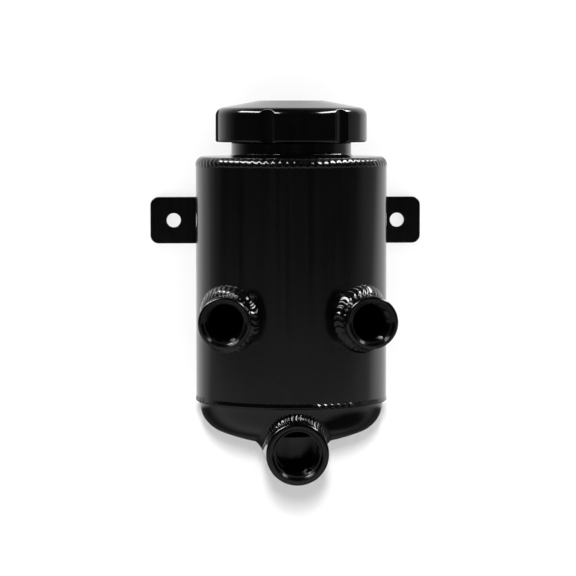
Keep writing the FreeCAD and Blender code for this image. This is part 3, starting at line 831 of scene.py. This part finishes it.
def make_dish_cavity():
    """The space inside the dish, as a solid to cut the outlet with."""
    reach = DISH_CROWN - WALL
    knuckle = DISH_KNUCKLE - WALL
    tangent = math.asin(KNUCKLE_CENTRE / CROWN_REACH)
    crown_steps = 24
    knuckle_steps = 12
    profile = []
    for step in range(1, crown_steps + 1):
        angle = tangent * step / crown_steps
        profile.append((reach * math.sin(angle), CROWN_CENTRE - reach * math.cos(angle)))
    for step in range(1, knuckle_steps + 1):
        angle = tangent + (QUARTER_TURN - tangent) * step / knuckle_steps
        profile.append((KNUCKLE_CENTRE + knuckle * math.sin(angle),
                        KNUCKLE_HEIGHT - knuckle * math.cos(angle)))
    profile.append((profile[-1][0], SEAM_HEIGHT))
    angles = even_angles(CAVITY_SIDES)
    count = len(angles)
    rings = turned([[spot] * count for spot in profile], angles)
    points = [point for ring in rings for point in ring]
    faces = ring_faces(rings)
    top = len(points) - count
    low_pole = len(points)
    points.append(on_axis(0, 0, CROWN_CENTRE - reach))
    points.append(on_axis(0, 0, SEAM_HEIGHT))
    for column in range(count):
        beside = (column + 1) % count
        faces.append((column, beside, low_pole))
        faces.append((top + column, top + beside, low_pole + 1))
    return add_mesh("dish_cavity_cutter", points, faces)


def make_outlet_port():
    angles = even_angles(OUTLET_SIDES)
    outline = fillet_path([
        (OUTLET_POLE, OUTLET_LENGTH, 0),
        (OUTLET_RADIUS, OUTLET_LENGTH, OUTLET_END_ROUND),
        (OUTLET_RADIUS, 8 * MM, 0),
    ], 8)
    rings = [[(spot.x, spot.y)] * len(angles) for spot in outline]
    rings += port_rings(mouth=11.3 * MM, radius=OUTLET_RADIUS, bore=OUTLET_BORE, pitch=1.81 * MM,
                        thread_to=OUTLET_THREAD_END, thread_depth=0.85 * MM, angles=angles)
    bore = [(OUTLET_THROAT, OUTLET_THREAD_END), (OUTLET_THROAT, OUTLET_BORE_END),
            (OUTLET_POLE, OUTLET_BORE_END + DRILL_POINT)]
    rings += [[spot] * len(angles) for spot in bore]
    placed = [[Vector((radius * math.sin(angle), OUTLET_FACE + depth,
                       OUTLET_MIDDLE.z + radius * math.cos(angle)))
               for angle, (radius, depth) in zip(angles, ring)] for ring in rings]
    piece = loft("outlet_port_turned", placed, capped=True)
    cutter = make_dish_cavity()
    opening = piece.modifiers.new("opening", "BOOLEAN")
    opening.operation = "DIFFERENCE"
    opening.solver = "EXACT"
    opening.object = cutter
    shaped = evaluated_mesh(piece)
    piece.modifiers.clear()
    piece.data = shaped
    shade_smooth(shaped, PORT_SHARP)
    bpy.data.objects.remove(cutter)
    dress(piece, "root", COAT, "outlet_port")


# -------- neck and cap

CAP_PITCH = 3.0 * MM
CAP_STARTS = 2
CAP_THREAD_STEPS = 70
CAP_THREAD_FADE = 1.5 * MM
CAP_SHARP = 38
NECK_SIDES = 240


def cap_thread(angles, low, high, root, depth, fade_out=CAP_THREAD_FADE, shift=0):
    """Rings of the two-start thread between two heights, faded out at both ends."""
    rings = []
    for step in range(CAP_THREAD_STEPS + 1):
        height = low + (high - low) * step / CAP_THREAD_STEPS
        fade = smoothstep(low, low + CAP_THREAD_FADE, height)
        fade *= 1 - smoothstep(high - fade_out, high, height)
        ridges = [thread_height(height + shift, angle, CAP_PITCH, CAP_STARTS)
                  for angle in angles]
        rings.append([(root + depth * fade * ridge, height) for ridge in ridges])
    return rings


def make_neck():
    """The filler neck, with its two-start thread."""
    angles = even_angles(NECK_SIDES)
    inner = 23.5 * MM
    seat = 25.0 * MM
    groove = 25.5 * MM
    seat_height = NECK_TOP - 2.0 * MM
    groove_low = seat_height + 0.8 * MM
    groove_high = groove_low + 0.9 * MM
    root = 26.6 * MM
    foot_top = 38.0 * MM
    edge = 0.3 * MM
    foot = [(inner, seat_height), (inner, NECK_BOTTOM), (FOOT_RADIUS, NECK_BOTTOM),
            (FOOT_RADIUS, PLATE_TOP), (FOOT_RADIUS, foot_top - edge),
            (FOOT_RADIUS - edge, foot_top), (root, foot_top + 0.4 * MM)]
    mouth = [(root - 0.4 * MM, NECK_TOP), (seat + edge, NECK_TOP), (seat, NECK_TOP - edge),
             (seat, groove_high), (groove, groove_high), (groove, groove_low), (seat, groove_low),
             (seat, seat_height)]
    rings = [[spot] * len(angles) for spot in foot]
    rings += cap_thread(angles, low=foot_top + 1.2 * MM, high=NECK_TOP - 0.8 * MM, root=root,
                        depth=0.85 * MM, fade_out=1.2 * MM)
    rings += [[spot] * len(angles) for spot in mouth]
    piece = loft("filler_neck_threaded", turned(rings, angles), CAP_SHARP)
    dress(piece, "root", COAT, "filler_neck")


CAP_RADIUS = 35.25 * MM
CAP_POLE = 0.02 * MM
# The flat top turns down into a shallow cone, which a rounded shoulder joins to the side.
CAP_FLAT_RADIUS = 15.0 * MM
CAP_FLAT_ROUND = 8 * MM
SHOULDER_HEIGHT = 53.7 * MM
SHOULDER_ROUND = 3.9 * MM
CAP_FOOT_ROUND = 1.0 * MM
CAP_CHAMFER = 0.9 * MM
CAP_FILLET_STEPS = 16
CAP_LONGEST_STEP = 1.2 * MM
CAP_CEILING = 53.3 * MM
CAP_BORE = 28.2 * MM
CAP_THREAD_TOP = 49.6 * MM
# The boss under the ceiling holds the vent's cage.
BOSS_RADIUS = 10.0 * MM
BOSS_BORE = 8.02 * MM
BOSS_BOTTOM = CAP_CEILING - 3.0 * MM

SCALLOPS = 6
SCALLOP_STEP = TAU / SCALLOPS
SCALLOP_RADIUS = 5.8 * MM
SCALLOP_DEPTH = 1.5 * MM
SCALLOP_EDGE = 0.2 * MM
SCALLOP_AZIMUTH = math.radians(-22.2)
SCALLOP_HALF = math.radians(10.5)
ANGLES_IN_SCALLOP = 48
ANGLES_BETWEEN = 26


def scalloped(radius, angle):
    """A radius trimmed by the nearest scallop, with rounded edges."""
    offset = (angle - SCALLOP_AZIMUTH + SCALLOP_STEP / 2) % SCALLOP_STEP - SCALLOP_STEP / 2
    reach = CAP_RADIUS + SCALLOP_RADIUS - SCALLOP_DEPTH
    across = reach * math.sin(offset)
    if abs(across) >= SCALLOP_RADIUS:
        return radius
    limit = reach * math.cos(offset) - math.sqrt(SCALLOP_RADIUS ** 2 - across ** 2)
    return smooth_least(radius, limit, SCALLOP_EDGE)


def cap_angles():
    """Angles around the cap: close together at the scallops, wider between them."""
    angles = []
    for scallop in range(SCALLOPS):
        middle = SCALLOP_AZIMUTH + SCALLOP_STEP * scallop
        for number in range(ANGLES_IN_SCALLOP):
            share = number / ANGLES_IN_SCALLOP
            angles.append(middle - SCALLOP_HALF + 2 * SCALLOP_HALF * share)
        for number in range(ANGLES_BETWEEN):
            share = number / ANGLES_BETWEEN
            angles.append(middle + SCALLOP_HALF + (SCALLOP_STEP - 2 * SCALLOP_HALF) * share)
    return angles


def make_cap():
    angles = cap_angles()
    outer = refine(fillet_path([
        (CAP_POLE, CAP_TOP, 0),
        (CAP_FLAT_RADIUS, CAP_TOP, CAP_FLAT_ROUND),
        (CAP_RADIUS, SHOULDER_HEIGHT, SHOULDER_ROUND),
        (CAP_RADIUS, CAP_BOTTOM, CAP_FOOT_ROUND),
        (CAP_BORE + CAP_CHAMFER, CAP_BOTTOM, 0.2 * MM),
        (CAP_BORE, CAP_BOTTOM + CAP_CHAMFER, 0),
    ], CAP_FILLET_STEPS), CAP_LONGEST_STEP)
    rings = [[(scalloped(spot.x, angle), spot.y) for angle in angles] for spot in outer]
    rings += cap_thread(angles, low=CAP_BOTTOM + 1.0 * MM, high=CAP_THREAD_TOP, root=CAP_BORE,
                        depth=-0.6 * MM, shift=CAP_PITCH / 2)
    edge = 0.3 * MM
    inside = [(CAP_BORE, CAP_CEILING), (BOSS_RADIUS, CAP_CEILING), (BOSS_RADIUS, BOSS_BOTTOM + edge),
              (BOSS_RADIUS - edge, BOSS_BOTTOM), (BOSS_BORE, BOSS_BOTTOM), (BOSS_BORE, CAP_CEILING),
              (CAP_POLE, CAP_CEILING)]
    rings += [[spot] * len(angles) for spot in inside]
    piece = loft("screw_cap", turned(rings, angles), CAP_SHARP, capped=True)
    even_shading(piece)
    dress(piece, "cap", CAP_COAT, "cap_shell")


# -------- vent spring

SPRING_TURNS = 5
WIRE_RADIUS = 0.35 * MM
# How far the wire's middle keeps from the edges of the CAD spring's box.
SPRING_INSET = 1.02 * WIRE_RADIUS
SPRING_SIDES = 12
SPRING_TURN_STEPS = 48
SPRING_SHARP = 60


def make_vent_spring():
    """The coil spring, kept within the CAD spring's box."""
    low, high = heights("vent_spring")
    radius = box_size("vent_spring").x / 2 - SPRING_INSET
    rise = high - low - 2 * SPRING_INSET
    steps = SPRING_TURN_STEPS * SPRING_TURNS
    rings = []
    for step in range(steps + 1):
        turn = TAU * SPRING_TURNS * step / steps
        middle = low + SPRING_INSET + rise * step / steps
        rings.append([on_axis(radius + WIRE_RADIUS * math.cos(around), turn,
                              middle + WIRE_RADIUS * math.sin(around))
                      for around in even_angles(SPRING_SIDES)])
    piece = loft("vent_coil_spring", rings, SPRING_SHARP, capped=True)
    piece.data.materials.append(SPRING_STEEL)
    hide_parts("vent_spring")
    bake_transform(piece)


# -------- mounting strap

STRAP_CORNER = 4.0 * MM
STRAP_CORNER_STEPS = 10
STRAP_EDGE = 0.35 * MM
STRAP_HOLE_SIDES = 64


def rounded_outline(width, height, radius, steps):
    spots = []
    for number, (side, rise) in enumerate(((1, 1), (-1, 1), (-1, -1), (1, -1))):
        for step in range(steps + 1):
            angle = QUARTER_TURN * (number + step / steps)
            spots.append((side * (width / 2 - radius) + radius * math.cos(angle),
                          rise * (height / 2 - radius) + radius * math.sin(angle)))
    return spots


def make_strap():
    """The flat strap, with slightly broken edges around its outline and its holes."""
    size = box_size("mounting_strap")
    holes = MOUNTS["ear_holes"]["dims"]
    outline = bpy.data.curves.new("mounting_strap_outline", "CURVE")
    outline.dimensions = "2D"
    outline.fill_mode = "BOTH"
    outline.extrude = size.y / 2 - STRAP_EDGE
    outline.bevel_depth = STRAP_EDGE
    outline.bevel_resolution = 3
    outline.offset = -STRAP_EDGE
    loops = [rounded_outline(size.x, size.z, STRAP_CORNER, STRAP_CORNER_STEPS)]
    for side in (-1, 1):
        middle = side * holes["spacing_x_mm"] * MM / 2
        radius = holes["hole_r_mm"] * MM
        loops.append([(middle + radius * math.cos(angle), radius * math.sin(angle))
                      for angle in even_angles(STRAP_HOLE_SIDES)])
    for spots in loops:
        spline = outline.splines.new("POLY")
        spline.points.add(len(spots) - 1)
        for point, spot in zip(spline.points, spots):
            point.co = (spot[0], spot[1], 0, 1)
        spline.use_cyclic_u = True
    shape = bpy.data.objects.new("mounting_strap_shape", outline)
    bpy.context.scene.collection.objects.link(shape)
    flat = evaluated_mesh(shape)
    bpy.data.objects.remove(shape)
    middle = box_middle("mounting_strap").y
    points = [Vector((vertex.co.x, middle - vertex.co.z, vertex.co.y)) for vertex in flat.vertices]
    faces = [tuple(face.vertices) for face in flat.polygons]
    piece = add_mesh("mounting_strap_plate", points, faces)
    even_shading(piece)
    dress(piece, "root", COAT, "mounting_strap")


# -------- floor and backdrop

SQUARE = ((-1, -1), (1, -1), (1, 1), (-1, 1))
STAGE_REACH = 1.6
FLOOR_HEIGHT = CAD_BOX[0][2] - 120 * MM
WALL_BEHIND = 2.0 * MM
STAGE_DARK = (0.80, 0.80, 0.80)
STAGE_LIGHT = (0.82, 0.82, 0.82)


def make_stage_material(name):
    """Matt and pale in front, and clear from behind."""
    material, tree, shader = new_material(name)
    cloud = object_noise(tree, scale=3, detail=2)
    tree.links.new(tint(tree, cloud, STAGE_DARK, STAGE_LIGHT), shader.inputs["Base Color"])
    shader.inputs["Roughness"].default_value = 0.9
    shader.inputs["Specular IOR Level"].default_value = 0.0
    clear = tree.nodes.new("ShaderNodeBsdfTransparent")
    side = tree.nodes.new("ShaderNodeNewGeometry")
    surface = mix_shaders(tree, side.outputs["Backfacing"], shader.outputs["BSDF"],
                          clear.outputs["BSDF"])
    tree.links.new(surface, tree.nodes["Material Output"].inputs["Surface"])
    return material


def stage_sheet(name, corners, facing, material):
    """One flat face that looks one way. The reservoir doesn't reflect it."""
    sheet = add_mesh(name, [Vector(corner) for corner in corners], [(0, 1, 2, 3)])
    if sheet.data.polygons[0].normal.dot(facing) < 0:
        sheet.data.flip_normals()
    sheet.data.materials.append(material)
    sheet.visible_glossy = False
    return sheet


def make_floor():
    """A pale floor below the reservoir, which hangs by its strap."""
    corners = [(x * STAGE_REACH, y * STAGE_REACH, FLOOR_HEIGHT) for x, y in SQUARE]
    return stage_sheet("floor", corners, Vector((0, 0, 1)), make_stage_material("pale_floor"))


def make_backdrop():
    """A pale wall just behind the strap, which only the camera sees."""
    corners = [(x * STAGE_REACH, WALL_BEHIND, FLOOR_HEIGHT if z < 0 else STAGE_REACH)
               for x, z in SQUARE]
    wall = stage_sheet("backdrop", corners, Vector((0, -1, 0)), make_stage_material("pale_wall"))
    wall.visible_diffuse = False
    wall.visible_shadow = False
    wall.visible_transmission = False
    return wall


# -------- surroundings

# The studio's brightness by a direction's part: from the front to the back on each side, and
# by height, where the upper half fades out at its foot and a lower half lights up below it.
LEFT_BY_DEPTH = [(-1, 0.012), (0.10, 0.02), (0.26, 0.10), (0.44, 0.28), (0.64, 0.66), (0.84, 1)]
RIGHT_BY_DEPTH = [(-1, 0.012), (-0.34, 0.02), (-0.18, 0.20), (0.28, 0.26), (0.46, 0.8), (0.58, 1)]
UPPER_BY_HEIGHT = [(-0.20, 0.05), (-0.125, 1)]
LOWER_LEFT_BY_HEIGHT = [(-1, 0.44), (-0.45, 0.46), (-0.13, 0.54), (-0.105, 0.42), (-0.085, 0.04),
                        (-0.07, 0)]
LOWER_RIGHT_BY_HEIGHT = [(-1, 0.04), (-0.34, 0.04), (-0.22, 0.3), (-0.13, 0.36), (-0.085, 0.04),
                         (-0.07, 0)]
LOWER_BY_DEPTH = [(-1, 1), (0.2, 1), (0.75, 0.06)]

# Where the left side gives way to the right one, by X, and in the lower half by X less Z.
SIDES_MEET = (-0.1, 0.1)
LOWER_SIDES_MEET = (1.12, 1.32)
# The right side's edge slants: its depth shifts with height, from one pair to the other.
SLANT_HEIGHTS = (-0.11, -0.02)
SLANT_SHIFTS = (0.14, -0.22)


def make_world():
    """White behind the reservoir and dark in front, as in a product studio.

    The camera itself sees plain white all round.
    """
    world = bpy.data.worlds.new("studio")
    bpy.context.scene.world = world
    world.use_nodes = True
    tree = world.node_tree
    place = tree.nodes.new("ShaderNodeTexCoord")
    parts = tree.nodes.new("ShaderNodeSeparateXYZ")
    tree.links.new(place.outputs["Generated"], parts.inputs["Vector"])
    aside = parts.outputs["X"]
    back = parts.outputs["Y"]
    up = parts.outputs["Z"]
    left = grey_ramp(tree, back, LEFT_BY_DEPTH)
    shift = map_range(tree, up, *SLANT_HEIGHTS, *SLANT_SHIFTS)
    right = grey_ramp(tree, arithmetic(tree, "ADD", back, shift), RIGHT_BY_DEPTH)
    level = mix_greys(tree, "MIX", left, right, map_range(tree, aside, *SIDES_MEET))
    upper = mix_greys(tree, "MULTIPLY", level, grey_ramp(tree, up, UPPER_BY_HEIGHT))
    far_right = map_range(tree, arithmetic(tree, "SUBTRACT", aside, up), *LOWER_SIDES_MEET)
    lower = mix_greys(tree, "MIX", grey_ramp(tree, up, LOWER_LEFT_BY_HEIGHT),
                      grey_ramp(tree, up, LOWER_RIGHT_BY_HEIGHT), far_right)
    lower = mix_greys(tree, "MULTIPLY", lower, grey_ramp(tree, back, LOWER_BY_DEPTH))
    around = tree.nodes["Background"]
    tree.links.new(mix_greys(tree, "LIGHTEN", upper, lower), around.inputs["Color"])
    seen = tree.nodes.new("ShaderNodeBackground")
    seen.inputs["Color"].default_value = (1, 1, 1, 1)
    path = tree.nodes.new("ShaderNodeLightPath")
    surface = mix_shaders(tree, path.outputs["Is Camera Ray"], around.outputs["Background"],
                          seen.outputs["Background"])
    tree.links.new(surface, tree.nodes["World Output"].inputs["Surface"])


# -------- lights

LEFT_AZIMUTH = -66
RIGHT_AZIMUTH = 84
STRIP_DISTANCE = 1.3
STRIP_HEIGHT = 0.22
STRIP_POWER = 28
STAGE_DISTANCE = 1.6


def aim(item, target):
    item.rotation_euler = (Vector(target) - item.location).to_track_quat("-Z", "Y").to_euler()


def add_softbox(name, azimuth, elevation, width, height=STRIP_HEIGHT, power=STRIP_POWER,
                distance=STRIP_DISTANCE):
    """A rectangular light that faces the reservoir. Azimuth 0 is at the front, -Y."""
    light = bpy.data.lights.new(name, "AREA")
    light.shape = "RECTANGLE"
    light.size = width
    light.size_y = height
    light.energy = power
    item = bpy.data.objects.new(name, light)
    turn = math.radians(azimuth)
    rise = math.radians(elevation)
    item.location = on_axis(distance * math.cos(rise), turn, distance * math.sin(rise))
    bpy.context.scene.collection.objects.link(item)
    aim(item, (AXIS.x, AXIS.y, 0))
    return item


def light_group(name, pieces, state):
    """A collection for light linking, which ties a light to the pieces or keeps it off them."""
    linked = bpy.data.collections.new(name)
    for piece in pieces:
        linked.objects.link(piece)
    for item in linked.collection_objects:
        item.light_linking.link_state = state
    return linked


def make_lights(stage_pieces, shadow_casters, under_cap, under_port):
    """Two softboxes for the reservoir, and two lights that fall on the stage alone.

    Only the reservoir's lowest pieces cast a shadow on the stage. Two low strips light the
    beads that the cap and the ports shelter from the softboxes.
    """
    left = add_softbox("softbox_left", LEFT_AZIMUTH, elevation=48, width=1.5)
    right = add_softbox("softbox_right", RIGHT_AZIMUTH, elevation=46, width=1.4)
    stage_key = add_softbox("stage_key", azimuth=-3.5, elevation=9.8, width=0.07, height=0.16,
                            power=16, distance=STAGE_DISTANCE)
    stage_fill = add_softbox("stage_fill", azimuth=0, elevation=30, width=2.0, height=1.6,
                             power=20.6, distance=STAGE_DISTANCE)
    stage_fill.data.use_shadow = False
    for light in (stage_key, stage_fill):
        light.light_linking.receiver_collection = light_group("stage_only", stage_pieces, "INCLUDE")
    for light in (left, right):
        light.light_linking.receiver_collection = light_group("not_stage", stage_pieces, "EXCLUDE")
    stage_key.light_linking.blocker_collection = light_group("lowest", shadow_casters, "INCLUDE")
    for name, azimuth, sheltered in (("low_strip_left", LEFT_AZIMUTH, [under_cap]),
                                     ("low_strip_right", RIGHT_AZIMUTH, [under_cap, under_port])):
        strip = add_softbox(name, azimuth, elevation=24, width=1.3)
        strip.light_linking.receiver_collection = light_group(name, sheltered, "INCLUDE")


# -------- camera

FOCAL_PIXELS = 2700
FRAME_PIXELS = 576
SENSOR_WIDTH = 36
CAMERA_DISTANCE = 1.259
CAMERA_HEIGHT = 56.4 * MM
CAMERA_AZIMUTH = math.radians(-3.5)
TARGET_HEIGHT = -29.9 * MM
TARGET_ASIDE = 1.5 * MM


def make_camera():
    camera = bpy.data.cameras.new("camera")
    camera.sensor_width = SENSOR_WIDTH
    camera.lens = SENSOR_WIDTH * FOCAL_PIXELS / FRAME_PIXELS
    camera.clip_start = 0.05
    camera.clip_end = 50
    item = bpy.data.objects.new("camera", camera)
    item.location = on_axis(CAMERA_DISTANCE, CAMERA_AZIMUTH, CAMERA_HEIGHT)
    right = Vector((math.cos(CAMERA_AZIMUTH), math.sin(CAMERA_AZIMUTH), 0))
    bpy.context.scene.collection.objects.link(item)
    aim(item, on_axis(0, 0, TARGET_HEIGHT) - right * TARGET_ASIDE)
    bpy.context.scene.camera = item
    bpy.context.scene.view_settings.view_transform = "Standard"


# -------- assembly

make_camera()
make_world()
paint_carried_nodes()
make_top_seam()
make_bottom_seam()
make_neck_foot_bead()
for port_seed, port_side in enumerate(("left", "right"), start=21):
    return_port = ReturnPort(port_side)
    make_return_port(return_port)
    make_return_bead(return_port, port_seed)
make_outlet_port()
make_outlet_bead()
make_neck()
make_cap()
make_vent_spring()
make_strap()
lowest_pieces = [bpy.data.objects[name]
                 for name in ("bottom_seam_bead", "outlet_port_turned", "outlet_bead")]
make_lights([make_floor(), make_backdrop()], [frame["nodes"]["bottom_dish"]] + lowest_pieces,
            bpy.data.objects["neck_bead"], bpy.data.objects["bottom_seam_bead"])
